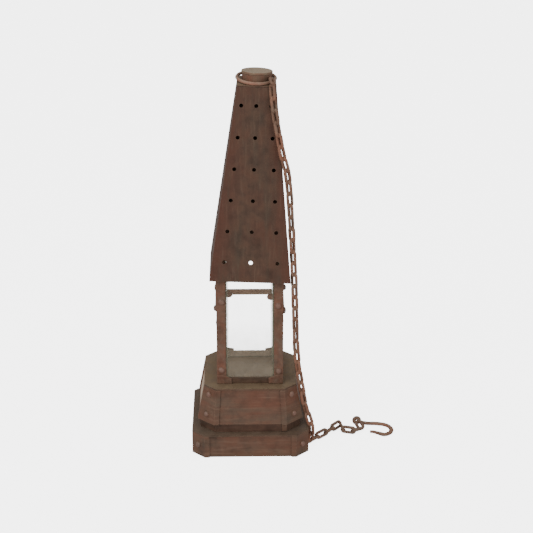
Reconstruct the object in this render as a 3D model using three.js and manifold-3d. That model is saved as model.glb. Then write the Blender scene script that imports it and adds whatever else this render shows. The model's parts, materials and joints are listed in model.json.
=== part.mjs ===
// Hanging lantern of riveted sheet iron: a chamfered two-step base, a glazed cage of four angle
// posts, a tall perforated hood with a capped chimney, a carrying ring, and a chain with a hook.
// Millimetres, +Z up, front towards -Y, origin on the floor under the middle of the base.
import * as THREE from "three";
import { mergeVertices } from "three/addons/utils/BufferGeometryUtils.js";
import Module from "manifold-3d";

const wasm = await Module();
wasm.setup();

// ---- driving dimensions ----
const GAP = 0.3; // between pieces that touch
const SHEET = 2; // sheet iron
const DIAGONAL = Math.SQRT1_2; // one axis's share of a 45 degree offset

const PLINTH = { half: 97.7, chamfer: 20.5, height: 41.5 };
const RISER = { half: 86, chamfer: 26, top: 57 };
const TAB = { left: 54, right: 62, low: 43.5, thick: 1.5 }; // hangs from the right front seam
const PEDESTAL = { halfLow: 88, chamferLow: 26.6, halfTop: 76.5, chamferTop: 19, top: 119.2 };
const FLANGE = 7; // how far a corner plate laps over its two panels
const RIVET = { radius: 5, height: 3 };

const POST = { outer: 56.4, leg: 16, thick: 3 };
const SILL_HEIGHT = 11;
const CAGE_FLOOR = PEDESTAL.top + GAP;
const CROSSBAR = { backHeight: 242.6, sideHeight: 254, depth: 10.4 };
const PANE = { half: 42.4, thick: 2.5, low: 120.2, top: 311 };
const FACE_RIVET = { x: 47.6, leftHeight: 270.3, rightHeight: 262.9 };
const CLIP = { pivotX: 47.6, reach: 13.5, radius: 5.4, thick: 2.4, leftHeight: 281.2, rightHeight: 274.6 };
const CLIP_REST = { left: 0, right: 5 }; // degrees above level, arm pointing inwards
const GUSSET = { tall: 9, rise: 17, thick: 2 }; // full height for the width "tall", then sloping
const GUSSET_END = { front: { run: 25, toe: 10 }, back: { run: 28.5, toe: 13.5 } };

const HOOD = { lip: 309.4, shiftX: 0.4, half: 67.6, slope: 6.32, height: 323, tilt: 2.25 };
const VENT = { radius: 3.4, sides: 10, rows: 6, lowest: 33.4, pitch: 51.9, spread: 0.69 };
const SEAT = { height: 20, leg: 26, thick: 3 };
const COLLAR = { radius: 24.6, height: 12.7 }; // height in the middle, where the cap's plane crosses
const CAP = { radius: 25.6, thick: 4.4, lean: 3.1 }; // leans back
const RING = { radius: 31.4, wire: 2.9, drop: 4.5, backRise: 7.9, shiftX: -1.2 };
const LUG = { half: 5.1, thick: 3.4, hole: 3.7, above: 5.4, neck: -3.6 };

// The chain's plain stand-in is a round bar; its links stand a little proud of it all round.
const CHAIN_BAR = { radius: 4, sides: 8, steps: 80 };
// The way the chain hangs and lies, from just below the ring to just before the hook's eye.
const CHAIN_ROUTE = [
  [37.8, -33.5, 640], [37.6, -37.8, 632], [39.5, -39.6, 610], [43.6, -43.3, 580],
  [48.5, -47, 552], [53.5, -50.5, 526], [60.6, -52, 499], [64.9, -52, 466],
  [67.6, -53, 424], [70.2, -54.5, 382], [72.6, -57, 339], [74.2, -59.5, 305],
  [75.3, -60, 270], [76.6, -60, 230], [78.4, -59, 185], [82.5, -58, 145],
  [87, -57, 116], [91.2, -57, 92], [95.6, -57.5, 70], [100.5, -58.5, 54],
  [104.9, -60, 38], [105.4, -59, 26], [105.2, -55, 15], [106.5, -48, 7], [112.5, -40.5, 5],
  [124.5, -30, 5], [133, -24, 6], [141, -14, 7], [150.5, -3.5, 7.8], [156.5, 3, 8.4],
  [161.5, 1.5, 8], [164.3, -6, 6.5], [167.5, -12.5, 6], [173, -16, 5.5], [181, -16.8, 5.3],
  [189, -11.5, 5], [194.5, -5, 5], [196.2, 2.5, 5],
];
const HOOK = { wire: 2.2, steps: 52 };
const HOOK_EYE = { at: [190.2, 20, 7.6], radius: 5.6, leanX: 38, leanY: -14 };
// The hook's bent wire, from its eye, which stands a little off the floor, round to its tip.
const HOOK_ROUTE = [
  [194.6, 16.9, 6.9], [202, 13.4, 6], [209.5, 12, 5.5], [220.5, 12.4, 5], [231, 11.6, 4.4],
  [240.3, 9.3, 3.6], [246.2, 3.6, 2.9], [249.7, -8.1, 2.5], [245.5, -21.5, 2.5],
  [235.2, -27.2, 2.5], [223.5, -19.8, 2.5], [216.9, -15.1, 2.5], [211.6, -14.7, 2.5],
];

// ---- finishes ----
const iron = { color: 0x5f4a3d, roughness: 0.72, metalness: 0.55 };
const rustyIron = { color: 0x6e4a3a, roughness: 0.8, metalness: 0.4 };
const dustyIron = { color: 0x84725f, roughness: 0.85, metalness: 0.3 };
const glass = { color: 0xdfe8dc, roughness: 0.08, metalness: 0, transparent: true, opacity: 0.25 };

const lantern = new THREE.Group();

function addNode(name, geometry, finish, parent = lantern) {
  const mesh = new THREE.Mesh(geometry, new THREE.MeshStandardMaterial(finish));
  mesh.name = name;
  parent.add(mesh);
  return mesh;
}

// ---- solids ----
function toSolid(geometry) {
  const bare = new THREE.BufferGeometry();
  bare.setAttribute("position", geometry.getAttribute("position"));
  if (geometry.index) bare.setIndex(geometry.index);
  const merged = mergeVertices(bare, 1e-4);
  const mesh = new wasm.Mesh({
    numProp: 3,
    vertProperties: merged.attributes.position.array,
    triVerts: new Uint32Array(merged.index.array),
  });
  return new wasm.Manifold(mesh);
}

function toGeometry(solid) {
  const mesh = solid.getMesh();
  const geometry = new THREE.BufferGeometry();
  geometry.setAttribute("position", new THREE.BufferAttribute(mesh.vertProperties.slice(), 3));
  geometry.setIndex(new THREE.BufferAttribute(mesh.triVerts.slice(), 1));
  const faceted = geometry.toNonIndexed();
  faceted.computeVertexNormals();
  return faceted;
}

function box(low, high) {
  const size = high.map((value, axis) => value - low[axis]);
  const geometry = new THREE.BoxGeometry(...size);
  return geometry.translate(...low.map((value, axis) => value + size[axis] / 2));
}

// A flat shape in X and Y, thickened upwards from z.
function slab(points, z, thick) {
  const shape = new THREE.Shape(points.map(([x, y]) => new THREE.Vector2(x, y)));
  const geometry = new THREE.ExtrudeGeometry(shape, { depth: thick, bevelEnabled: false });
  return geometry.translate(0, 0, z);
}

function octagon(half, chamfer) {
  const flat = half - chamfer;
  return [
    [-flat, -half], [flat, -half], [half, -flat], [half, flat],
    [flat, half], [-flat, half], [-half, flat], [-half, -flat],
  ];
}

// A closed solid between two outlines with the same number of points.
function loft(lowPoints, lowZ, highPoints, highZ) {
  const count = lowPoints.length;
  const positions = [];
  lowPoints.forEach(([x, y]) => positions.push(x, y, lowZ));
  highPoints.forEach(([x, y]) => positions.push(x, y, highZ));
  const index = [];
  for (let i = 0; i < count; i += 1) {
    const next = (i + 1) % count;
    index.push(i, next, count + next, i, count + next, count + i);
  }
  for (let i = 1; i < count - 1; i += 1) {
    index.push(0, i + 1, i, count, count + i, count + i + 1);
  }
  const geometry = new THREE.BufferGeometry();
  geometry.setAttribute("position", new THREE.Float32BufferAttribute(positions, 3));
  geometry.setIndex(index);
  return geometry;
}

// A round rivet head whose flat side faces -normal at the given point.
function rivetHead(point, normal, radius = RIVET.radius, height = RIVET.height) {
  const seat = 0.8;
  const profile = [new THREE.Vector2(0, -seat), new THREE.Vector2(radius, -seat)];
  const steps = 4;
  for (let i = 0; i < steps; i += 1) {
    const angle = (i / steps) * (Math.PI / 2);
    profile.push(new THREE.Vector2(radius * Math.cos(angle), height * Math.sin(angle)));
  }
  profile.push(new THREE.Vector2(0, height));
  const geometry = new THREE.LatheGeometry(profile, 12);
  const turn = new THREE.Quaternion().setFromUnitVectors(
    new THREE.Vector3(0, 1, 0),
    new THREE.Vector3(...normal).normalize(),
  );
  return geometry.applyQuaternion(turn).translate(...point);
}

function withRivets(solid, rivets) {
  return rivets.reduce((joined, [point, normal]) => joined.add(toSolid(rivetHead(point, normal))), solid);
}

const SIDES = [
  { name: "front", turns: 0 },
  { name: "right", turns: 1 },
  { name: "back", turns: 2 },
  { name: "left", turns: 3 },
];
const CORNERS = [
  { name: "front_right", turns: 0 },
  { name: "back_right", turns: 1 },
  { name: "back_left", turns: 2 },
  { name: "front_left", turns: 3 },
];

function quarterTurn(geometry, turns) {
  return geometry.rotateZ((turns * Math.PI) / 2);
}

// ---- base: plinth, riser, pedestal ----
// One skirt is eight plates round an octagon that may narrow upwards: four panels that stop short
// of the chamfers, and four riveted corner plates that lap over the panels' ends.
function skirt(prefix, low, high, z, rivetHeights) {
  const grown = (ring, by) => octagon(ring.half + by, ring.chamfer + by * (2 - Math.SQRT2));
  const solidAt = (by) => toSolid(loft(grown(low, by), z.low, grown(high, by), z.high));
  const panelOuter = solidAt(0);
  const panelShell = panelOuter.subtract(toSolid(loft(
    grown(low, -SHEET), z.low - 1, grown(high, -SHEET), z.high + 1,
  )));
  const plateShell = solidAt(SHEET + GAP).subtract(toSolid(loft(
    grown(low, GAP), z.low - 1, grown(high, GAP), z.high + 1,
  )));
  const flatLow = low.half - low.chamfer;
  const flatHigh = high.half - high.chamfer;
  const reach = low.half + 20;
  SIDES.forEach(({ name, turns }) => {
    const inside = Math.min(flatLow, flatHigh) - GAP;
    const window = toSolid(box([-inside, -reach, z.low - 2], [inside, -low.half / 2, z.high + 2]));
    addNode(`${prefix}_${name}`, quarterTurn(toGeometry(panelShell.intersect(window)), turns), rustyIron);
  });
  CORNERS.forEach(({ name, turns }) => {
    const lapLow = flatLow - FLANGE;
    const lapHigh = flatHigh - FLANGE;
    const wedge = toSolid(loft(
      [[lapLow, -reach], [reach, -reach], [reach, -lapLow], [lapLow, -lapLow]], z.low - 2,
      [[lapHigh, -reach], [reach, -reach], [reach, -lapHigh], [lapHigh, -lapHigh]], z.high + 2,
    ));
    const rivets = rivetHeights.map((height) => {
      const share = (height - z.low) / (z.high - z.low);
      const mid = (ring) => ring.half - ring.chamfer / 2 + (SHEET + GAP) * DIAGONAL;
      const at = mid(low) + (mid(high) - mid(low)) * share;
      return [[at, -at, height], [1, -1, 0]];
    });
    const plate = withRivets(plateShell.intersect(wedge), rivets);
    addNode(`${prefix}_corner_${name}`, quarterTurn(toGeometry(plate), turns), iron);
  });
}

function plinth() {
  const ring = { half: PLINTH.half, chamfer: PLINTH.chamfer };
  const ledgeThick = 2;
  const skirtTop = PLINTH.height - ledgeThick - GAP;
  skirt("plinth", ring, ring, { low: 0, high: skirtTop }, [20]);
  const outline = octagon(PLINTH.half + SHEET + GAP, PLINTH.chamfer + 1);
  addNode("plinth_ledge", slab(outline, PLINTH.height - ledgeThick, ledgeThick), dustyIron);
  const floorOutline = octagon(PLINTH.half - SHEET - GAP, PLINTH.chamfer);
  addNode("base_plate", slab(floorOutline, 0, SHEET), iron);
}

function riser() {
  const low = PLINTH.height + GAP;
  const high = RISER.top - GAP;
  const outer = toSolid(slab(octagon(RISER.half, RISER.chamfer), low, high - low));
  const inner = toSolid(slab(octagon(RISER.half - SHEET, RISER.chamfer - 1), low - 1, high - low + 2));
  const wall = outer.subtract(inner);
  SIDES.forEach(({ name, turns }) => {
    const far = RISER.half + 10;
    const edge = GAP / 2;
    const wedge = toSolid(slab([[0, -edge], [-far, -far - edge], [far, -far - edge]], low - 2, high - low + 4));
    addNode(`riser_${name}`, quarterTurn(toGeometry(wall.intersect(wedge)), turns), iron);
  });
}

function seamTab() {
  const back = -RISER.half - GAP;
  const top = RISER.top - GAP;
  addNode("seam_tab", box([TAB.left, back - TAB.thick, TAB.low], [TAB.right, back, top]), rustyIron);
}

function pedestal() {
  const deckThick = 3;
  skirt(
    "pedestal",
    { half: PEDESTAL.halfLow, chamfer: PEDESTAL.chamferLow },
    { half: PEDESTAL.halfTop, chamfer: PEDESTAL.chamferTop },
    { low: RISER.top, high: PEDESTAL.top - deckThick - GAP },
    [70.5, 105.2],
  );
  const outline = octagon(PEDESTAL.halfTop + SHEET, PEDESTAL.chamferTop + 1);
  addNode("deck", slab(outline, PEDESTAL.top - deckThick, deckThick), dustyIron);
}

// ---- cage ----
// The underside of the hood's seats slopes with the hood, so each post is cut to its own height.
function postTop(x) {
  const tilt = THREE.MathUtils.degToRad(HOOD.tilt);
  return HOOD.lip + SEAT.height * Math.cos(tilt) - x * Math.sin(tilt) - GAP;
}

function post(name, signX, signY, rivets) {
  const { outer, leg, thick } = POST;
  const inner = outer - thick;
  const end = outer - leg;
  const outline = [[outer, outer], [end, outer], [end, inner], [inner, inner], [inner, end], [outer, end]];
  const placed = outline.map(([x, y]) => [signX * x, signY * y]);
  const top = Math.min(postTop(signX * outer), postTop(signX * end));
  const angleIron = toSolid(slab(signX * signY < 0 ? placed.reverse() : placed, CAGE_FLOOR, top - CAGE_FLOOR));
  addNode(name, toGeometry(withRivets(angleIron, rivets)), rustyIron);
}

function posts() {
  const { outer } = POST;
  const sideRivet = (sign, y, z) => [[sign * outer, y, z], [sign, 0, 0]];
  const faceRivet = (x, sign, z) => [[x, sign * outer, z], [0, sign, 0]];
  const mid = outer - POST.leg / 2;
  post("post_front_left", -1, -1, [
    sideRivet(-1, -mid, 255.8), faceRivet(-FACE_RIVET.x, -1, FACE_RIVET.leftHeight), faceRivet(-mid, -1, 144.8),
  ]);
  post("post_front_right", 1, -1, [
    sideRivet(1, -mid, 293), sideRivet(1, -mid, 251.1),
    faceRivet(FACE_RIVET.x, -1, FACE_RIVET.rightHeight), faceRivet(mid, -1, 142.1),
  ]);
  post("post_back_left", -1, 1, [
    sideRivet(-1, mid, 253.5), faceRivet(-mid, 1, CROSSBAR.backHeight), faceRivet(-mid, 1, 143.5),
  ]);
  post("post_back_right", 1, 1, [
    sideRivet(1, mid, 253.5), faceRivet(mid, 1, CROSSBAR.backHeight), faceRivet(mid, 1, 143.5),
  ]);
}

function sills() {
  const { outer, leg, thick } = POST;
  const half = outer - leg - GAP;
  SIDES.forEach(({ name, turns }) => {
    const bar = box([-half, -outer, CAGE_FLOOR], [half, -outer + thick, CAGE_FLOOR + SILL_HEIGHT]);
    addNode(`sill_${name}`, quarterTurn(bar, turns), rustyIron);
  });
}

// The bars across the back and the two sides; the front is left open above its pane.
function crossbars() {
  const { outer, leg, thick } = POST;
  const half = outer - leg - GAP;
  const { depth } = CROSSBAR;
  const section = [
    [-0.5, -depth / 2], [2.2, -depth / 2], [3.8, -depth / 4], [4.2, 0],
    [3.8, depth / 4], [2.2, depth / 2], [-0.5, depth / 2],
  ];
  SIDES.filter(({ name }) => name !== "front").forEach(({ name, turns }) => {
    const height = name === "back" ? CROSSBAR.backHeight : CROSSBAR.sideHeight;
    const bar = slab(section, -half, half * 2).rotateX(Math.PI / 2).rotateZ(-Math.PI / 2);
    bar.translate(0, -outer + thick - 1, height);
    addNode(`crossbar_${name}`, quarterTurn(bar, turns), dustyIron);
  });
}

function panes() {
  const face = POST.outer - POST.thick - GAP;
  SIDES.forEach(({ name, turns }) => {
    const sheet = box([-PANE.half, -face, PANE.low], [PANE.half, -face + PANE.thick, PANE.top]);
    addNode(`pane_${name}`, quarterTurn(sheet, turns), glass);
  });
}

// A turn clip behind the front pane: a round-ended arm on a stub that stands off the post.
function clip(name, sign, height, degrees) {
  const { pivotX, reach, radius, thick } = CLIP;
  const backOfPost = -POST.outer + POST.thick + GAP;
  const front = backOfPost + PANE.thick + GAP;
  const arm = new THREE.Shape();
  arm.absarc(0, 0, radius, Math.PI / 2, (3 * Math.PI) / 2, false);
  arm.absarc(reach, 0, radius, -Math.PI / 2, Math.PI / 2, false);
  const flat = toSolid(new THREE.ExtrudeGeometry(arm, { depth: thick, bevelEnabled: false, curveSegments: 8 }));
  const stubLength = PANE.thick + GAP + 1;
  const stub = toSolid(new THREE.CylinderGeometry(2.6, 2.6, stubLength, 12)
    .rotateX(Math.PI / 2).translate(0, 0, thick - 1 + stubLength / 2));
  const geometry = toGeometry(flat.add(stub));
  geometry.rotateX(Math.PI / 2).translate(0, thick, 0);
  const angle = sign < 0 ? -degrees : -180 + degrees;
  geometry.rotateY(THREE.MathUtils.degToRad(angle));
  geometry.translate(sign * pivotX, front, height);
  addNode(name, geometry, rustyIron);
}

// A flat plate across the foot of each post, low towards the middle of the lantern.
function gussets() {
  const { tall, rise, thick } = GUSSET;
  const { outer } = POST;
  [["front", -1], ["back", 1]].forEach(([depthName, signY]) => {
    const { run, toe } = GUSSET_END[depthName];
    [["left", -1], ["right", 1]].forEach(([sideName, signX]) => {
      const outline = [[outer, 0], [outer, rise], [outer - tall, rise], [outer - run, toe], [outer - run, 0]];
      const placed = outline.map(([x, y]) => [signX * x, y]);
      const plate = slab(signX < 0 ? placed.reverse() : placed, 0, thick).rotateX(Math.PI / 2);
      const face = signY * (outer + GAP);
      plate.translate(0, signY < 0 ? face : face + thick, CAGE_FLOOR);
      addNode(`gusset_${depthName}_${sideName}`, plate, rustyIron);
    });
  });
}

// ---- hood ----
const slopeTan = Math.tan(THREE.MathUtils.degToRad(HOOD.slope));
const slopeCos = Math.cos(THREE.MathUtils.degToRad(HOOD.slope));
const hoodHalfAt = (height) => HOOD.half - height * slopeTan;
const HOOD_TOP = HOOD.height + 2 * GAP + SHEET; // upper face of the top plate, up the hood's own axis

// One sloping face with its rows of vents, drawn flat and then leaned back.
function hoodPanel(inset) {
  const slant = HOOD.height / slopeCos;
  const low = hoodHalfAt(0) - inset;
  const high = hoodHalfAt(HOOD.height) - inset;
  const shape = new THREE.Shape([
    new THREE.Vector2(-low, 0), new THREE.Vector2(low, 0),
    new THREE.Vector2(high, slant), new THREE.Vector2(-high, slant),
  ]);
  for (let row = 0; row < VENT.rows; row += 1) {
    const height = VENT.lowest + row * VENT.pitch;
    [-1, 0, 1].forEach((column) => {
      const vent = new THREE.Path();
      vent.absarc(column * VENT.spread * hoodHalfAt(height), height / slopeCos, VENT.radius, 0, 2 * Math.PI, true);
      shape.holes.push(vent);
    });
  }
  const options = { depth: SHEET, bevelEnabled: false, curveSegments: VENT.sides };
  const flat = new THREE.ExtrudeGeometry(shape, options);
  flat.translate(0, 0, -SHEET).rotateX(Math.PI / 2 - THREE.MathUtils.degToRad(HOOD.slope));
  return flat.translate(0, -HOOD.half, 0);
}

function hoodPanels(hood) {
  SIDES.forEach(({ name, turns }) => {
    const inset = turns % 2 ? SHEET + 2 * GAP : 0;
    addNode(`hood_${name}`, quarterTurn(hoodPanel(inset), turns), iron, hood);
  });
}

function hoodTop(hood) {
  const half = hoodHalfAt(HOOD.height);
  const low = HOOD_TOP - SHEET;
  addNode("hood_top", box([-half, -half, low], [half, half, HOOD_TOP]), dustyIron, hood);
}

// A flat three-cornered seat inside each lower corner, where a post top is welded to the hood.
function hoodSeats(hood) {
  const wall = hoodHalfAt(SEAT.height + SEAT.thick) - SHEET / slopeCos - 2 * GAP;
  const corner = [[wall, -wall], [wall, -wall + SEAT.leg], [wall - SEAT.leg, -wall]];
  CORNERS.forEach(({ name, turns }) => {
    addNode(`hood_seat_${name}`, quarterTurn(slab(corner, SEAT.height, SEAT.thick), turns), iron, hood);
  });
}

// The short round collar, cut off along the cap's leaning plane, and the flat cap on it.
function chimney(hood) {
  const low = HOOD_TOP + GAP;
  const middle = new THREE.Vector3(0, 0, low + COLLAR.height);
  const lean = THREE.MathUtils.degToRad(-CAP.lean);
  const up = new THREE.Vector3(0, 0, 1).applyAxisAngle(new THREE.Vector3(1, 0, 0), lean);
  const uncut = middle.z + 3;
  const wall = [
    new THREE.Vector2(COLLAR.radius - SHEET, low), new THREE.Vector2(COLLAR.radius, low),
    new THREE.Vector2(COLLAR.radius, uncut), new THREE.Vector2(COLLAR.radius - SHEET, uncut),
    new THREE.Vector2(COLLAR.radius - SHEET, low),
  ];
  const tallCollar = toSolid(new THREE.LatheGeometry(wall, 56).rotateX(Math.PI / 2));
  const above = new THREE.BoxGeometry(80, 80, 20).translate(0, 0, 10).rotateX(lean).translate(...middle);
  addNode("chimney_collar", toGeometry(tallCollar.subtract(toSolid(above))), iron, hood);
  const lid = new THREE.CylinderGeometry(CAP.radius, CAP.radius, CAP.thick, 56).rotateX(Math.PI / 2 + lean);
  const lidMiddle = middle.addScaledVector(up, GAP + CAP.thick / 2);
  addNode("chimney_cap", lid.translate(...lidMiddle), dustyIron, hood);
}

// ---- ring and its lug ----
function ringAndLug(hood) {
  const hinge = new THREE.Vector3(RING.shiftX, RING.radius, HOOD_TOP + RING.backRise);
  const torus = new THREE.TorusGeometry(RING.radius, RING.wire, 10, 40);
  torus.translate(0, -RING.radius, 0).rotateX(THREE.MathUtils.degToRad(RING.drop));
  addNode("carrying_ring", torus.translate(...hinge), rustyIron, hood);
  const low = HOOD_TOP + GAP - hinge.z;
  const outline = new THREE.Shape([
    new THREE.Vector2(-LUG.half, low), new THREE.Vector2(0.4, low), new THREE.Vector2(LUG.half, LUG.neck),
    new THREE.Vector2(LUG.half, LUG.above), new THREE.Vector2(-LUG.half, LUG.above),
  ]);
  const hole = new THREE.Path();
  hole.absarc(0, 0, LUG.hole, 0, 2 * Math.PI, true);
  outline.holes.push(hole);
  const lug = new THREE.ExtrudeGeometry(outline, { depth: LUG.thick, bevelEnabled: false, curveSegments: 12 });
  lug.translate(0, 0, -LUG.thick / 2).rotateX(Math.PI / 2).rotateZ(Math.PI / 2);
  addNode("ring_lug", lug.translate(...hinge), iron, hood);
}

// ---- chain and hook ----
function roundSection(radius, sides) {
  const points = [];
  for (let i = 0; i < sides; i += 1) {
    const angle = (i / sides) * 2 * Math.PI;
    points.push(new THREE.Vector2(radius * Math.cos(angle), radius * Math.sin(angle)));
  }
  return new THREE.Shape(points);
}

function tube(route, radius, sides, steps) {
  const curve = new THREE.CatmullRomCurve3(route.map((point) => new THREE.Vector3(...point)), false, "centripetal");
  return new THREE.ExtrudeGeometry(roundSection(radius, sides), { steps, extrudePath: curve, bevelEnabled: false });
}

function chain() {
  addNode("chain", tube(CHAIN_ROUTE, CHAIN_BAR.radius, CHAIN_BAR.sides, CHAIN_BAR.steps), rustyIron);
}

function hook() {
  const eye = new THREE.TorusGeometry(HOOK_EYE.radius, HOOK.wire, 8, 20);
  eye.rotateX(THREE.MathUtils.degToRad(HOOK_EYE.leanX));
  eye.rotateY(THREE.MathUtils.degToRad(HOOK_EYE.leanY)).translate(...HOOK_EYE.at);
  const shank = tube(HOOK_ROUTE, HOOK.wire, 8, HOOK.steps);
  addNode("hook", toGeometry(toSolid(eye).add(toSolid(shank))), rustyIron);
}

plinth();
riser();
seamTab();
pedestal();
posts();
sills();
crossbars();
panes();
clip("clip_left", -1, CLIP.leftHeight, CLIP_REST.left);
clip("clip_right", 1, CLIP.rightHeight, CLIP_REST.right);
gussets();

const hood = new THREE.Group();
hood.position.set(HOOD.shiftX, 0, HOOD.lip);
hood.rotation.y = THREE.MathUtils.degToRad(HOOD.tilt);
lantern.add(hood);
hoodPanels(hood);
hoodTop(hood);
hoodSeats(hood);
chimney(hood);
ringAndLug(hood);
chain();
hook();

export default lantern;
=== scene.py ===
import json
import math
import random

import bmesh
import bpy
import numpy as np
from mathutils import Matrix, Quaternion, Vector, noise


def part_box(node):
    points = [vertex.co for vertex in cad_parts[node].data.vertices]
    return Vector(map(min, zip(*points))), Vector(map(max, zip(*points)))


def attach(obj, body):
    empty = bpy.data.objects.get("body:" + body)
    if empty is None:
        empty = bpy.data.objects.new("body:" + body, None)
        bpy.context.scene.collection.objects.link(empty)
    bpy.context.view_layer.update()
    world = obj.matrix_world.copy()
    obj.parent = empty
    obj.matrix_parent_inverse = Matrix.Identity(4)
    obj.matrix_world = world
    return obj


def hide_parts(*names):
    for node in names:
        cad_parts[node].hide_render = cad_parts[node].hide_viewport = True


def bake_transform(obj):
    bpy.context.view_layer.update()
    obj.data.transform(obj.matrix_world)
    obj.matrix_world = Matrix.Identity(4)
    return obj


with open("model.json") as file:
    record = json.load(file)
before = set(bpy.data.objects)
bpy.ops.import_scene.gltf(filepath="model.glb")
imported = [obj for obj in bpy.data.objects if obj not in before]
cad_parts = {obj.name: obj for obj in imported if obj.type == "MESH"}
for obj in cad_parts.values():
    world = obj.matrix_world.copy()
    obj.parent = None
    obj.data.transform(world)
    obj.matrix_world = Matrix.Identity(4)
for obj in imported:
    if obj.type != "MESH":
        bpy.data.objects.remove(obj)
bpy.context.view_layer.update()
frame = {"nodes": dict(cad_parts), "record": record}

MM = 0.001
BASE = "base"
FLOOR = 0.2 * MM  # the lowest that a link or the hook comes
STAGE_SIZE = 12  # half the floor's width, in metres
STAGE_DROP = 0.4 * MM  # how far the floor lies under the base

CHAIN_WIRE = 2.7 * MM
LINK_PITCH = 20.2 * MM
LINK_WIDTH = 14.0 * MM
# The chain's way in millimetres from the ring down to the floor, as the CAD's bar follows it.
HANGING_ROUTE = [
    (37.6, -20, 638.5), (37.8, -28.5, 641),
    (37.8, -33.5, 640), (37.6, -37.8, 632), (39.5, -39.6, 610), (43.6, -43.3, 580),
    (48.5, -47, 552), (53.5, -50.5, 526), (60.6, -52, 499), (64.9, -52, 466),
    (67.6, -53, 424), (70.2, -54.5, 382), (72.6, -57, 339), (74.2, -59.5, 305),
    (75.3, -60, 270), (76.6, -60, 230), (78.4, -59, 185), (82.5, -58, 145),
    (87, -57, 116), (91.2, -57, 92), (95.6, -57.5, 70), (100.5, -58.5, 54),
    (104.9, -60, 38), (105.4, -59, 26), (105, -55, 15), (104, -50.5, 4.5),
]
# Where one link meets the next along the floor, as far as the hook's eye. Links by turns stand
# facing the front and lie flat.
FLOOR_JOINTS = [
    (104, -50.5, 4.5), (117, -36.1, 4), (133, -24, 6.5), (145, -8.5, 7.5), (159.3, 6, 9.3),
    (165.5, -12.5, 5.5), (181, -17.5, 5.5), (197, -4.5, 3.5), (191.9, 15, 5.2),
]
LINK_LEAN = 21  # degrees that a standing link leans back
HOOK_WIRE = 3.35 * MM
HOOK_EYE = {"at": (190.2, 20, 7.6), "radius": 4.6, "wire": 3.6, "lean_x": 38, "lean_y": -14}
# The hook's bent wire in millimetres, from its eye round to its tip.
HOOK_ROUTE = [
    (194.6, 16.9, 6.9), (202, 13.4, 6), (209.5, 12, 5.5), (220.5, 12.4, 5), (231, 11.6, 4.4),
    (240.3, 9.3, 3.6), (246.2, 3.6, 2.9), (249.7, -8.1, 2.5), (245.5, -21.5, 2.5),
    (235.2, -27.2, 2.5), (223.5, -19.8, 2.5), (216.9, -15.1, 2.5), (211.6, -14.7, 2.5),
]


# ---- camera, floor and light ----
def make_camera():
    camera = bpy.data.objects.new("camera", bpy.data.cameras.new("camera"))
    bpy.context.scene.collection.objects.link(camera)
    camera.location = (-0.015, -2.4006, 1.2509)
    camera.rotation_euler = (math.radians(90 - 21.37), 0, math.radians(-1.05))
    camera.data.sensor_width = 36
    camera.data.lens = 102.53
    camera.data.clip_end = 50
    bpy.context.scene.camera = camera


def make_floor():
    """A pale floor. Only the camera sees its glow, so the lantern isn't lit from below."""
    mesh = bpy.data.meshes.new("floor")
    size = STAGE_SIZE
    corners = [(-size, -size, 0), (size, -size, 0), (size, size, 0), (-size, size, 0)]
    mesh.from_pydata(corners, [], [(0, 1, 2, 3)])
    floor = bpy.data.objects.new("floor", mesh)
    bpy.context.scene.collection.objects.link(floor)
    floor.location.z = -STAGE_DROP
    floor.visible_diffuse = False
    floor.visible_glossy = False
    material = bpy.data.materials.new("floor_paint")
    material.use_nodes = True
    shader = material.node_tree.nodes["Principled BSDF"]
    shader.inputs["Base Color"].default_value = (0.93, 0.93, 0.93, 1)
    shader.inputs["Roughness"].default_value = 0.9
    shader.inputs["Emission Color"].default_value = (1, 1, 1, 1)
    shader.inputs["Emission Strength"].default_value = 4.4
    mesh.materials.append(material)


def area_light(name, place, target, size, power, tint=(1, 1, 1)):
    light = bpy.data.objects.new(name, bpy.data.lights.new(name, "AREA"))
    bpy.context.scene.collection.objects.link(light)
    light.data.shape = "SQUARE"
    light.data.size = size
    light.data.energy = power
    light.data.color = tint
    light.location = place
    aim = Vector(target) - Vector(place)
    light.rotation_euler = aim.to_track_quat("-Z", "Y").to_euler()


def make_lights():
    """A plain white surround and three large soft lamps."""
    world = bpy.data.worlds.new("studio")
    bpy.context.scene.world = world
    world.use_nodes = True
    world.node_tree.nodes["Background"].inputs["Color"].default_value = (1, 1, 1, 1)
    world.node_tree.nodes["Background"].inputs["Strength"].default_value = 0.52
    middle = (0, 0, 0.3)
    area_light("overhead", (-0.4, -0.6, 3.0), middle, 2.0, 13)
    area_light("front_left", (-2.2, -2.6, 1.8), middle, 1.4, 46)
    area_light("front_right", (2.0, -2.6, 0.9), middle, 1.8, 20)


# ---- materials ----
def tone(code):
    """A hex colour as the shader's linear RGBA."""
    parts = [int(code[i:i + 2], 16) / 255 for i in (0, 2, 4)]
    return tuple(((c + 0.055) / 1.055) ** 2.4 if c > 0.04045 else c / 12.92 for c in parts) + (1,)


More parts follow.
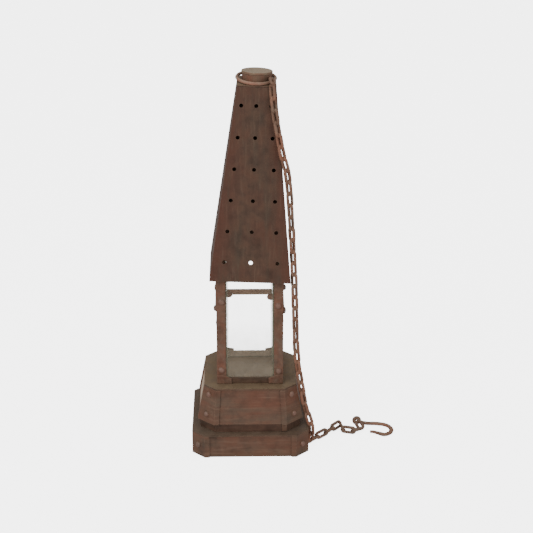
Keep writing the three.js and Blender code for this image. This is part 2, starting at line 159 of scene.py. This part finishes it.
class Paint:
    """A short way to write the node tree of one procedural material."""

    def __init__(self, name, metallic, specular):
        self.material = bpy.data.materials.new(name)
        self.material.use_nodes = True
        self.tree = self.material.node_tree
        self.surface = self.tree.nodes["Principled BSDF"]
        self.surface.inputs["Metallic"].default_value = metallic
        self.surface.inputs["Specular IOR Level"].default_value = specular
        self.coord = self.tree.nodes.new("ShaderNodeTexCoord")

    def link(self, output, socket):
        self.tree.links.new(output, socket)

    def feed(self, value, socket):
        if isinstance(value, (int, float, tuple)):
            socket.default_value = value
        else:
            self.link(value, socket)

    def noise(self, scale, detail=4.0, stretch=(1, 1, 1), shift=0.0, roughness=0.55):
        mapping = self.tree.nodes.new("ShaderNodeMapping")
        mapping.inputs["Scale"].default_value = stretch
        mapping.inputs["Location"].default_value = (shift, shift * 0.7, shift * 1.3)
        self.link(self.coord.outputs["Object"], mapping.inputs["Vector"])
        texture = self.tree.nodes.new("ShaderNodeTexNoise")
        texture.inputs["Scale"].default_value = scale
        texture.inputs["Detail"].default_value = detail
        texture.inputs["Roughness"].default_value = roughness
        self.link(mapping.outputs["Vector"], texture.inputs["Vector"])
        return texture.outputs["Fac"]

    def span(self, value, low, high, to_low=0.0, to_high=1.0):
        """Maps low..high to to_low..to_high, clamped."""
        node = self.tree.nodes.new("ShaderNodeMapRange")
        node.inputs["From Min"].default_value = low
        node.inputs["From Max"].default_value = high
        node.inputs["To Min"].default_value = to_low
        node.inputs["To Max"].default_value = to_high
        self.link(value, node.inputs["Value"])
        return node.outputs["Result"]

    def math(self, operation, a, b):
        node = self.tree.nodes.new("ShaderNodeMath")
        node.operation = operation
        self.feed(a, node.inputs[0])
        self.feed(b, node.inputs[1])
        return node.outputs["Value"]

    def mix(self, share, a, b):
        node = self.tree.nodes.new("ShaderNodeMix")
        node.data_type = "RGBA"
        self.feed(share, node.inputs[0])
        self.feed(a, node.inputs[6])
        self.feed(b, node.inputs[7])
        return node.outputs[2]

    def facing(self, axis):
        """How far the surface faces along X, Y or Z, from -1 to 1."""
        split = self.tree.nodes.new("ShaderNodeSeparateXYZ")
        self.link(self.coord.outputs["Normal"], split.inputs[0])
        return split.outputs[axis]

    def place(self, axis):
        """Where the surface is along X, Y or Z, in metres."""
        split = self.tree.nodes.new("ShaderNodeSeparateXYZ")
        self.link(self.coord.outputs["Object"], split.inputs[0])
        return split.outputs[axis]

    def edges(self, radius):
        """1 along sharp edges, 0 on the flat."""
        bevel = self.tree.nodes.new("ShaderNodeBevel")
        bevel.samples = 4
        bevel.inputs["Radius"].default_value = radius
        geometry = self.tree.nodes.new("ShaderNodeNewGeometry")
        dot = self.tree.nodes.new("ShaderNodeVectorMath")
        dot.operation = "DOT_PRODUCT"
        self.link(bevel.outputs["Normal"], dot.inputs[0])
        self.link(geometry.outputs["Normal"], dot.inputs[1])
        return self.span(dot.outputs["Value"], 0.995, 0.86)

    def bump(self, layers):
        """layers are (height, strength, distance in metres), each laid over the one before."""
        normal = None
        for value, strength, distance in layers:
            node = self.tree.nodes.new("ShaderNodeBump")
            node.inputs["Strength"].default_value = strength
            node.inputs["Distance"].default_value = distance
            self.link(value, node.inputs["Height"])
            if normal is not None:
                self.link(normal, node.inputs["Normal"])
            normal = node.outputs["Normal"]
        self.link(normal, self.surface.inputs["Normal"])

    def finish(self, color, roughness):
        self.link(color, self.surface.inputs["Base Color"])
        self.link(roughness, self.surface.inputs["Roughness"])
        return self.material


def rusted(name, red, grey, dust=tone("8c7a66"), streak=(1, 1, 1), dust_share=0.0, red_share=0.4,
           pitting=0.5, specular=0.35, dents=0.25, rim_share=0.5, hood_edges=False, light=1.0):
    """Rusted iron: blotches of brown, red and grey, fine streaks and specks, pale edges that are partly
    wear and partly a painted highlight, and dust on whatever faces up. light scales every colour."""
    def shade(color):
        return tuple(channel * light for channel in color[:3]) + (1,)

    dark, brown, pale_wear_and_highlight = shade(tone("4b382c")), shade(tone("745645")), shade(tone("a98d79"))
    red, grey, dust = shade(red), shade(grey), shade(dust)
    paint = Paint(name, metallic=0.05, specular=specular)
    blotch = paint.noise(24, 5, shift=0.3)
    patch = paint.noise(58, 6, shift=1.7)
    lines = paint.noise(230, 5, stretch=streak, shift=0.93)
    wide_lines = paint.noise(70, 4, stretch=streak, shift=2.41)
    specks = paint.noise(620, 4, shift=0.1, roughness=0.65)
    color = paint.mix(paint.span(patch, 0.22, 0.58), dark, brown)
    reds = paint.span(blotch, 0.4, 0.64, 0, red_share)
    if hood_edges:
        reds = paint.math("MAXIMUM", reds, hood_edge_mask(paint, red_share + 0.35))
    color = paint.mix(reds, color, red)
    color = paint.mix(paint.span(wide_lines, 0.46, 0.68, 0, 0.45), color, grey)
    color = paint.mix(paint.span(lines, 0.52, 0.78, 0, 0.25), color, dark)
    color = paint.mix(paint.span(lines, 0.45, 0.25, 0, 0.2), color, pale_wear_and_highlight)
    color = paint.mix(paint.span(specks, 0.6, 0.74, 0, 0.6), color, dark)
    color = paint.mix(paint.span(specks, 0.36, 0.24, 0, 0.5), color, pale_wear_and_highlight)
    # Pale edges: partly wear, partly a painted highlight along the edges.
    rim = paint.math("MULTIPLY", paint.edges(1.1 * MM), paint.span(patch, 0.3, 0.6, 0.2, rim_share))
    color = paint.mix(rim, color, pale_wear_and_highlight)
    if dust_share:
        settled = paint.span(paint.facing("Z"), 0.55, 0.92, 0, dust_share)
        settled = paint.math("MULTIPLY", settled, paint.span(patch, 0.28, 0.62, 0.6, 1.0))
        color = paint.mix(settled, color, dust)
    roughness = paint.span(patch, 0.3, 0.7, 0.5, 0.8)
    paint.bump([
        (paint.noise(13, 2, shift=3.1), dents, 4 * MM),
        (patch, 0.2, 0.8 * MM),
        (specks, pitting, 0.35 * MM),
    ])
    return paint.finish(color, roughness)


def hood_edge_mask(paint, share):
    """Grows from the middle of each hood face towards its two upright edges."""
    low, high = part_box("hood_top")
    hood_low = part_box("hood_front")[0]
    drift = (low[0] + high[0]) / 2 / (low[2] - hood_low[2])
    up = paint.math("SUBTRACT", paint.place("Z"), float(hood_low[2]))
    x = paint.math("SUBTRACT", paint.place("X"), paint.math("MULTIPLY", up, float(drift)))
    x = paint.math("ABSOLUTE", x, 0)
    y = paint.math("ABSOLUTE", paint.place("Y"), 0)
    ratio = paint.math("DIVIDE", paint.math("MINIMUM", x, y), paint.math("MAXIMUM", x, y))
    return paint.span(ratio, 0.35, 0.95, 0, share)


def glass_sheet(name, across, along):
    """Thin old glass: all but clear, greenish at its cut edges, dustier towards the bottom and
    next to the posts."""
    paint = Paint(name, metallic=0, specular=0.5)
    facing = paint.math("ABSOLUTE", paint.facing(across), 0)
    edge = paint.span(facing, 0.8, 0.4)
    low_dust = paint.span(paint.place("Z"), 190 * MM, 121 * MM)
    film = paint.noise(60, 5, shift=0.4)
    smear = paint.noise(210, 5, stretch=(1, 1, 0.12), shift=1.1)
    dust = paint.math("MULTIPLY", low_dust, paint.span(film, 0.3, 0.7, 0.1, 0.24))
    dust = paint.math("ADD", dust, paint.span(smear, 0.5, 0.8, 0.025, 0.07))
    half = float(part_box("pane_front")[1][0])
    off_middle = paint.math("ABSOLUTE", paint.place(along), 0)
    border = paint.span(off_middle, half - 7 * MM, half - 2 * MM)
    grime = paint.math("MULTIPLY", border, paint.span(film, 0.3, 0.7, 0.3, 0.6))
    dust = paint.math("MAXIMUM", dust, grime)
    color = paint.mix(border, tone("d2c6b0"), tone("8c8c74"))
    color = paint.mix(edge, color, tone("6f7a62"))
    alpha = paint.math("MAXIMUM", dust, paint.math("MULTIPLY", edge, 0.78))
    paint.link(alpha, paint.surface.inputs["Alpha"])
    paint.bump([(paint.noise(34, 2, shift=0.8), 0.12, 1 * MM)])
    return paint.finish(color, paint.span(film, 0.3, 0.7, 0.1, 0.4))


def make_materials():
    """One finish for each of the record's slots, and a few for single nodes within a slot."""
    level = (0.1, 0.1, 1)
    return {
        "base_sheet": rusted(
            "base_rust", red=tone("80503c"), grey=tone("6b6050"), streak=level, dust_share=0.35,
            red_share=0.55, light=0.9),
        # Rivets: a pinker, paler rust than the sheet, partly a painted highlight, with dust on their upper
        # faces.
        "rivets": rusted(
            "rivet_rust_and_highlight", red=tone("935f4e"), grey=tone("80695c"), dust_share=0.4, pitting=0.4,
            red_share=0.5, specular=0.9, dents=0.0, light=0.98),
        # The left pedestal panel: much paler all over than the other panels.
        "pale_left_panel": rusted(
            "pale_left_panel", red=tone("a08f7c"), grey=tone("a99f8c"), streak=level, dust_share=0.5,
            light=1.95, red_share=0.8),
        # The risers: rust made much darker, as painted shade under the pedestal's overhang.
        "shadowed": rusted(
            "riser_rust_painted_shade", red=tone("5f3d30"), grey=tone("4c4438"), streak=level, light=0.66),
        "frame_iron": rusted(
            "frame_rust", red=tone("8e5a46"), grey=tone("75675a"), dust_share=0.3, pitting=0.8,
            red_share=0.6, dents=0.1, light=0.98),
        # The front sill: a greyer rust, darkened as painted shade on its front face.
        "dark_bar": rusted(
            "dark_bar_rust_painted_shade", red=tone("5c4436"), grey=tone("57503e"), streak=level, pitting=0.8,
            dents=0.1, light=0.72),
        "dusty_bar": rusted(
            "dusty_bar", red=tone("8d7866"), grey=tone("998c76"), streak=level, dust_share=0.4,
            dents=0.05, light=1.95, red_share=0.8),
        "hood_sheet": rusted(
            "hood_rust", red=tone("774636"), grey=tone("625747"), streak=(1, 1, 0.05),
            dust_share=0.4, hood_edges=True, red_share=0.3, light=0.64),
        "collar": rusted(
            "collar_rust", red=tone("85513d"), grey=tone("6e6352"), streak=(1, 1, 0.1),
            light=1.05),
        "weathered_top": rusted(
            "dusty_rust", red=tone("7c5a47"), grey=tone("746a56"), dust=tone("9a8468"),
            streak=(0.12, 1, 1), dust_share=0.9, light=0.73),
        "cap_top": rusted(
            "cap_rust", red=tone("8a6a56"), grey=tone("8a8168"), dust=tone("a8967e"),
            dust_share=0.9, light=1.08),
        # The plinth ledge: darker rust and darker dust, as painted shade under the pedestal.
        "ledge": rusted(
            "ledge_rust_painted_shade", red=tone("70503e"), grey=tone("655b4b"), dust=tone("7f705f"),
            streak=(0.12, 1, 1), dust_share=0.6, light=0.75),
        "ring_iron": rusted(
            "ring_rust", red=tone("935f4c"), grey=tone("86715f"), dust=tone("94836f"),
            dust_share=0.35, red_share=0.5, specular=0.6, dents=0.05, light=1.5),
        "chain_iron": rusted(
            "chain_rust", red=tone("935c45"), grey=tone("7f6b59"), dust_share=0.25,
            red_share=0.6, specular=0.5, dents=0.05, light=1.25),
        "glass_y": glass_sheet("glass_front_back", "Y", "X"),
        "glass_x": glass_sheet("glass_sides", "X", "Y"),
    }


# Nodes that look different from the rest of their slot: the ledge and the risers are darkened as painted
# shade, and the left pedestal panel is paler.
NODE_FINISH = {
    "plinth_ledge": "ledge", "chimney_collar": "collar", "pedestal_left": "pale_left_panel",
    "sill_back": "dusty_bar", "riser_front": "shadowed", "riser_right": "shadowed",
    "riser_back": "shadowed", "riser_left": "shadowed",
}


def paint_node(node, material):
    mesh = frame["nodes"][node].data
    if not mesh.materials:
        mesh.materials.append(material)
    for slot in frame["nodes"][node].material_slots:
        slot.material = material


def paint_frame():
    """Gives every CAD node the material of its slot in the record."""
    for part in frame["record"]["subparts"]:
        node, slot = part["node"], part["material_slot"]
        if slot == "glass":
            low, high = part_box(node)
            slot = "glass_y" if high[0] - low[0] > high[1] - low[1] else "glass_x"
        paint_node(node, MATERIALS[NODE_FINISH.get(node, slot)])


# ---- small helpers ----
def add_object(name, mesh, body=None):
    obj = bpy.data.objects.new(name, mesh)
    bpy.context.scene.collection.objects.link(obj)
    if body:
        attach(obj, body)
    return obj


def dress(obj, slot, finish=None):
    """Gives a new piece the material of a slot, or a finish of its own within that slot."""
    obj.data.materials.clear()
    obj.data.materials.append(MATERIALS[finish or slot])


def smooth(mesh):
    mesh.polygons.foreach_set("use_smooth", [True] * len(mesh.polygons))


def node_points(node):
    mesh = frame["nodes"][node].data
    points = np.empty(len(mesh.vertices) * 3)
    mesh.vertices.foreach_get("co", points)
    return points.reshape(-1, 3)


def disc_axis(node):
    """The middle of a flat round node and the direction square to it, pointing up."""
    points = node_points(node)
    low, high = points.min(axis=0), points.max(axis=0)
    middle = (low + high) / 2
    _, axes = np.linalg.eigh(np.cov((points - middle).T))
    axis = Vector(axes[:, 0])
    return Vector(middle), axis if axis.z > 0 else -axis


def catmull(before, start, end, after, t):
    """One point of a centripetal Catmull-Rom stretch from start to end."""
    knots = [0.0]
    for a, b in ((before, start), (start, end), (end, after)):
        knots.append(knots[-1] + max((b - a).length, 1e-6) ** 0.5)
    u = knots[1] + t * (knots[2] - knots[1])

    def mix(a, b, low, high):
        share = (u - low) / (high - low)
        return a * (1 - share) + b * share

    a1 = mix(before, start, knots[0], knots[1])
    a2 = mix(start, end, knots[1], knots[2])
    a3 = mix(end, after, knots[2], knots[3])
    b1 = mix(a1, a2, knots[0], knots[2])
    b2 = mix(a2, a3, knots[1], knots[3])
    return mix(b1, b2, knots[1], knots[2])


def spline_points(points, step):
    """A smooth line through points, sampled about every step metres."""
    samples = []
    last = len(points) - 1
    for i in range(last):
        before = points[max(i - 1, 0)]
        start, end = points[i], points[i + 1]
        after = points[min(i + 2, last)]
        count = max(2, int((end - start).length / step))
        samples += [catmull(before, start, end, after, k / count) for k in range(count)]
    samples.append(points[-1].copy())
    return samples


def path_length(points):
    return sum((b - a).length for a, b in zip(points, points[1:]))


def point_at(points, distance):
    """The point that far along a line of points, and the direction there."""
    left = distance
    for a, b in zip(points, points[1:]):
        step = (b - a).length
        if left <= step:
            return a.lerp(b, left / step), (b - a).normalized()
        left -= step
    return points[-1].copy(), (points[-1] - points[-2]).normalized()


def sweep(mesh_data, line, radii, sides, closed=False, flat=None):
    """Adds a tube along line to (verts, faces), with one radius per point. flat gives per point
    how much wider than thick the section is, with its width level."""
    verts, faces = mesh_data
    base = len(verts)
    count = len(line)
    side_axis = None
    for i, point in enumerate(line):
        ahead = line[(i + 1) % count] if closed or i < count - 1 else point
        behind = line[i - 1] if closed or i > 0 else point
        tangent = (ahead - behind).normalized()
        if flat:
            side_axis = tangent.cross(Vector((0, 0, 1)))
        elif side_axis is None:
            side_axis = tangent.orthogonal()
        side_axis = (side_axis - tangent * side_axis.dot(tangent)).normalized()
        other = tangent.cross(side_axis)
        wide = flat[i] if flat else 1.0
        for k in range(sides):
            angle = 2 * math.pi * k / sides
            offset = side_axis * (math.cos(angle) * wide) + other * (math.sin(angle) / wide)
            verts.append(point + offset * radii[i])
    rings = count if closed else count - 1
    for i in range(rings):
        for k in range(sides):
            a = base + i * sides + k
            b = base + i * sides + (k + 1) % sides
            c = base + ((i + 1) % count) * sides + (k + 1) % sides
            d = base + ((i + 1) % count) * sides + k
            faces.append((a, b, c, d))
    if not closed:
        faces.append(tuple(base + k for k in reversed(range(sides))))
        faces.append(tuple(base + (count - 1) * sides + k for k in range(sides)))


def mesh_from(name, mesh_data):
    mesh = bpy.data.meshes.new(name)
    mesh.from_pydata([tuple(v) for v in mesh_data[0]], [], mesh_data[1])
    mesh.validate()
    mesh.update()
    smooth(mesh)
    return mesh


def ease(value):
    value = min(max(value, 0.0), 1.0)
    return value * value * (3 - 2 * value)


# ---- sheet edges ----
def soften_edges(nodes, width):
    """Rounds the edges of CAD sheet pieces a little, as rolled and worn sheet has them."""
    for node in nodes:
        modifier = frame["nodes"][node].modifiers.new("edge", "BEVEL")
        modifier.width = width
        modifier.segments = 2
        modifier.limit_method = "ANGLE"
        modifier.angle_limit = math.radians(32)


# ---- rivets ----
def rivet_tops(node):
    """The top and direction of each domed rivet head on a CAD node: the point where its twelve
    short edges meet."""
    work = bmesh.new()
    work.from_mesh(frame["nodes"][node].data)
    bmesh.ops.remove_doubles(work, verts=work.verts, dist=0.01 * MM)
    work.normal_update()
    tops = []
    for vert in work.verts:
        lengths = [edge.calc_length() for edge in vert.link_edges]
        if len(lengths) == 12 and max(lengths) < 2.2 * MM:
            tops.append((vert.co.copy(), vert.normal.copy()))
    work.free()
    return tops


def add_rivet(mesh_data, top, normal, radius, height, rng):
    """One hammered dome, flat on the crown and a little out of round."""
    verts, faces = mesh_data
    base = len(verts)
    rings, sides = 7, 22
    right = normal.orthogonal().normalized()
    up = normal.cross(right)
    seat = top - normal * (height - 0.15 * MM)
    lean = Vector((rng.uniform(-1, 1), rng.uniform(-1, 1))) * 0.25 * MM
    for i in range(rings):
        angle = i / (rings - 1) * math.pi / 2
        reach = math.cos(angle) ** 0.85
        rise = math.sin(angle) ** 0.8
        for k in range(sides):
            turn = 2 * math.pi * k / sides
            wobble = 1 + 0.06 * math.sin(2 * turn + lean.x * 9000) + 0.03 * math.sin(3 * turn)
            across = right * math.cos(turn) + up * math.sin(turn)
            sunk = 0.6 * MM if i == 0 else 0.0
            point = seat + across * (radius * reach * wobble) + normal * (height * rise - sunk)
            point += (right * lean.x + up * lean.y) * rise
            verts.append(point)
    for i in range(rings - 1):
        for k in range(sides):
            a = base + i * sides + k
            b = base + i * sides + (k + 1) % sides
            faces.append((a, b, b + sides, a + sides))
    faces.append(tuple(base + k for k in reversed(range(sides))))


def make_rivets(name, nodes, radius, height, slot):
    """One piece with a hammered head over each rivet of the nodes. The CAD's heads lie inside."""
    data = ([], [])
    rng = random.Random(len(nodes) + 11)
    for node in nodes:
        for top, normal in rivet_tops(node):
            size = radius * rng.uniform(0.97, 1.05)
            add_rivet(data, top + normal * (height - 3.2 * MM), normal, size, height, rng)
    piece = add_object(name, mesh_from(name, data), BASE)
    dress(piece, slot, "rivets")


# ---- crusty bar and angle iron ----
def crusty(node, body, slot, voxel, roughness, lumps=(), finish=None):
    """Stands for a CAD node: its own shape with rounded, pitted and lumpy rusty surfaces. lumps are
    (point, radius, height)."""
    piece = add_object(node + "_iron", frame["nodes"][node].data.copy())
    modifier = piece.modifiers.new("skin", "REMESH")
    modifier.mode = "VOXEL"
    modifier.voxel_size = voxel
    graph = bpy.context.evaluated_depsgraph_get()
    mesh = bpy.data.meshes.new_from_object(piece.evaluated_get(graph))
    piece.modifiers.clear()
    piece.data = mesh
    for vert in mesh.vertices:
        point = vert.co
        inward = -(point.x * vert.normal.x + point.y * vert.normal.y) / (math.hypot(point.x, point.y) + MM)
        free = 1 - ease((inward - 0.2) / 0.5)
        grain = noise.fractal(point * 160, 1.0, 2.0, 4) * 0.55 + noise.noise(point * 520) * 0.3
        push = roughness * grain
        for place, radius, height in lumps:
            near = 1 - (point - Vector(place) * MM).length / (radius * MM)
            if near > 0:
                push += height * MM * ease(near) * (0.8 + 0.5 * noise.noise(point * 330))
        vert.co = point + vert.normal * (push * (free if push > 0 else 1))
    smooth(mesh)
    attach(piece, body)
    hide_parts(node)
    dress(piece, slot, finish)


def make_cage_iron():
    """The posts with their weld lumps, the sills, crossbars, gussets, clips and seam tab."""
    low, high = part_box("post_front_left")
    outer = -low[0] / MM
    edge = outer - 1
    lumps = {
        "post_front_left": [
            ((-edge, -edge, 297), 13, 3.6), ((-edge, -edge, 282), 10, 3.1), ((-46, -edge, 288), 11, 1.7),
            ((-43, -edge, 299), 9, 1.2), ((-edge, -50, 231), 7, 1.6), ((-44, -edge, 231), 6, 0.9),
            ((-48, -edge, 276), 8, 1.2), ((-edge, -48, 262), 7, 0.9),
        ],
        "post_front_right": [
            ((edge, -edge, 300), 10, 2.2), ((46, -edge, 292), 11, 1.6), ((42, -edge, 280), 8, 1.3),
            ((edge, -50, 232), 6, 1.2), ((48, -edge, 270), 9, 1.2), ((edge, -50, 277), 7, 1.2),
        ],
        "post_back_left": [((-edge, edge, 290), 11, 1.8), ((-46, edge, 238), 9, 1.2)],
        "post_back_right": [((edge, edge, 288), 11, 1.8), ((46, edge, 239), 9, 1.2)],
    }
    for node, places in lumps.items():
        crusty(node, BASE, "frame_iron", 1.3 * MM, 0.55 * MM, places)
    sides = ("front", "right", "back", "left")
    for side in sides:
        beads = []
        if side == "front":
            beads = [((x, -outer, 129), 7, 1.3) for x in (-36, -24, -9, 6, 17, 31)]
        # The front sill's darker finish is painted shade.
        finish = {"front": "dark_bar", "back": "dusty_bar"}.get(side)
        crusty("sill_" + side, BASE, "frame_iron", 1.0 * MM, 0.7 * MM, beads, finish)
    for side in sides[1:]:
        crusty("crossbar_" + side, BASE, "frame_iron", 0.9 * MM, 0.3 * MM, finish="dusty_bar")
    for depth in ("front", "back"):
        for side in ("left", "right"):
            crusty("gusset_%s_%s" % (depth, side), BASE, "frame_iron", 0.8 * MM, 0.6 * MM)
    crusty("clip_left", "left_clip", "frame_iron", 0.8 * MM, 0.3 * MM)
    crusty("clip_right", "right_clip", "frame_iron", 0.8 * MM, 0.3 * MM)
    crusty("seam_tab", BASE, "base_sheet", 0.6 * MM, 0.4 * MM)


# ---- chimney and ring ----
def revolve(name, profile, place, axis, sides, wobble):
    """A closed turned piece: profile is (radius, height) pairs, bottom to top."""
    turn = Vector((0, 0, 1)).rotation_difference(axis)
    verts, faces = [], []
    for radius, height in profile:
        for k in range(sides):
            angle = 2 * math.pi * k / sides
            point = Vector((radius * math.cos(angle), radius * math.sin(angle), height))
            point += point.normalized() * (wobble * noise.noise(point * 60))
            verts.append(place + turn @ point)
    for i in range(len(profile) - 1):
        for k in range(sides):
            a = i * sides + k
            b = i * sides + (k + 1) % sides
            faces.append((a, b, b + sides, a + sides))
    faces.append(tuple(reversed(range(sides))))
    faces.append(tuple((len(profile) - 1) * sides + k for k in range(sides)))
    return mesh_from(name, (verts, faces))


def make_chimney():
    """The cap, with a rolled rim and a slightly dished top."""
    middle, axis = disc_axis("chimney_cap")
    points = node_points("chimney_cap") - np.array(middle)
    along = points @ np.array(axis)
    half = float(along.max())
    radius = float(np.linalg.norm(points - np.outer(along, np.array(axis)), axis=1).max())
    rim = 0.9 * MM
    profile = [
        (radius - rim, -half), (radius - 0.3 * rim, -half + 0.2 * rim), (radius, -half + rim),
        (radius, half - rim), (radius - 0.3 * rim, half - 0.3 * rim), (radius - rim, half),
        (radius - 2.6 * rim, half - 0.1 * MM), (radius - 5 * rim, half - 0.6 * MM),
        (radius * 0.4, half - 1.0 * MM), (radius * 0.05, half - 1.1 * MM),
    ]
    cap = add_object("cap_plate", revolve("cap_plate", profile, middle, axis, 72, 0.25 * MM), BASE)
    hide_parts("chimney_cap")
    dress(cap, "weathered_top", "cap_top")


def make_ring():
    """The carrying ring: hammered round wire, on the circle that the CAD's ring follows."""
    middle, axis = disc_axis("carrying_ring")
    points = node_points("carrying_ring") - np.array(middle)
    along = points @ np.array(axis)
    wire = float(along.max())
    reach = np.linalg.norm(points - np.outer(along, np.array(axis)), axis=1)
    radius = float(reach.max() + reach.min()) / 2
    right = axis.orthogonal().normalized()
    ahead = axis.cross(right)
    line, radii = [], []
    for k in range(120):
        angle = 2 * math.pi * k / 120
        point = middle + (right * math.cos(angle) + ahead * math.sin(angle)) * radius
        line.append(point)
        radii.append(wire * (1 + 0.05 * noise.noise(point * 130) - 0.02))
    data = ([], [])
    sweep(data, line, radii, 14, closed=True)
    ring = add_object("ring_wire", mesh_from("ring_wire", data), "ring")
    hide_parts("carrying_ring")
    dress(ring, "ring_iron")


# ---- chain and hook ----
def link_line(length, width, count=10):
    """Centreline of one oval link in X and Y, X along the chain."""
    half_run = (length - width) / 2
    radius = width / 2
    line = []
    for centre, start in ((half_run, -math.pi / 2), (-half_run, math.pi / 2)):
        for k in range(count + 1):
            angle = start + math.pi * k / count
            line.append(Vector((centre + radius * math.cos(angle), radius * math.sin(angle), 0)))
    return line


def add_link(data, centre, tangent, across, rng):
    """One oval wire link, lifted clear of the floor if it would reach it."""
    outline = link_line(LINK_PITCH + CHAIN_WIRE * 1.1, LINK_WIDTH - 2 * CHAIN_WIRE)
    across = (across - tangent * across.dot(tangent)).normalized()
    turn = Matrix((tangent, across, tangent.cross(across))).transposed()
    line = [centre + turn @ point for point in outline]
    wire = CHAIN_WIRE * rng.uniform(0.95, 1.06)
    lift = max(0.0, FLOOR + wire * 1.05 - min(point.z for point in line))
    line = [point + Vector((0, 0, lift)) for point in line]
    radii = [wire * (1 + 0.09 * noise.noise(point * 300)) for point in line]
    sweep(data, line, radii, 10, closed=True)


def make_chain():
    """Oval links, each a quarter turn from the next."""
    data = ([], [])
    rng = random.Random(7)
    hanging = spline_points([Vector(point) * MM for point in HANGING_ROUTE], 3 * MM)
    count = round(path_length(hanging) / LINK_PITCH)
    pitch = path_length(hanging) / count
    for i in range(count):
        centre, tangent = point_at(hanging, (i + 0.5) * pitch)
        lean = math.pi / 4 + (math.pi / 2 if i % 2 else 0) + rng.uniform(-0.14, 0.14)
        add_link(data, centre, tangent, Quaternion(tangent, lean) @ Vector((0, -1, 0.01)), rng)
    joints = [Vector(point) * MM for point in FLOOR_JOINTS]
    away = Vector((0, math.cos(math.radians(LINK_LEAN)), -math.sin(math.radians(LINK_LEAN))))
    for i, (start, end) in enumerate(zip(joints, joints[1:])):
        tangent = (end - start).normalized()
        standing = i % 2 == 1
        add_link(data, (start + end) / 2, tangent, tangent.cross(away) if standing else away, rng)
    path = hanging + spline_points(joints, 3 * MM)[1:]
    chain = add_object("chain_links", mesh_from("chain_links", data))
    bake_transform(chain)
    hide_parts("chain")
    dress(chain, "chain_iron")
    return chain, path, path_length(path)


def make_hook():
    """The forged hook: a round eye, a shank, a flattened bend and a blunt tapered tip."""
    data = ([], [])
    lean = (Matrix.Rotation(math.radians(HOOK_EYE["lean_y"]), 3, "Y")
            @ Matrix.Rotation(math.radians(HOOK_EYE["lean_x"]), 3, "X"))
    at = Vector(HOOK_EYE["at"]) * MM
    radius = HOOK_EYE["radius"] * MM
    eye = []
    for k in range(40):
        angle = 2 * math.pi * k / 40
        eye.append(at + lean @ Vector((radius * math.cos(angle), radius * math.sin(angle), 0)))
    eye_wire = HOOK_EYE["wire"] * MM
    sweep(data, eye, [eye_wire * (1 + 0.07 * noise.noise(p * 260)) for p in eye], 12, closed=True)
    line = spline_points([Vector(point) * MM for point in HOOK_ROUTE], 1.6 * MM)
    total = path_length(line)
    radii, flat, placed = [], [], []
    gone = 0.0
    for i, point in enumerate(line):
        if i:
            gone += (point - line[i - 1]).length
        share = gone / total
        bend = ease(1 - abs(share - 0.58) / 0.3)
        tip = 1 - 0.25 * ease((share - 0.8) / 0.2)
        wire = HOOK_WIRE * (1 + 0.08 * bend) * tip * (1 + 0.05 * noise.noise(point * 220))
        wide = 1 + 0.12 * bend
        radii.append(wire)
        flat.append(wide)
        placed.append(Vector((point.x, point.y, max(point.z, FLOOR + wire / wide))))
    sweep(data, placed, radii, 12, flat=flat)
    hook = add_object("forged_hook", mesh_from("forged_hook", data), "hook")
    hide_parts("hook")
    dress(hook, "chain_iron")
    return hook


make_camera()
make_floor()
make_lights()
MATERIALS = make_materials()
chain, chain_path, chain_length = make_chain()
hook = make_hook()
paint_frame()
SHEET_PREFIXES = ("plinth", "pedestal", "riser", "deck", "hood")
plates = [node for node in frame["nodes"] if node.startswith(SHEET_PREFIXES)]
soften_edges([node for node in plates if "seat" not in node], 0.45 * MM)
corners = [node for node in plates if "corner" in node and "hood" not in node]
make_rivets("base_rivets", corners, 4.9 * MM, 3.6 * MM, "base_sheet")
post_nodes = [node for node in frame["nodes"] if node.startswith("post")]
make_rivets("post_rivets", post_nodes, 5.5 * MM, 4.6 * MM, "frame_iron")
make_cage_iron()
make_chimney()
make_ring()
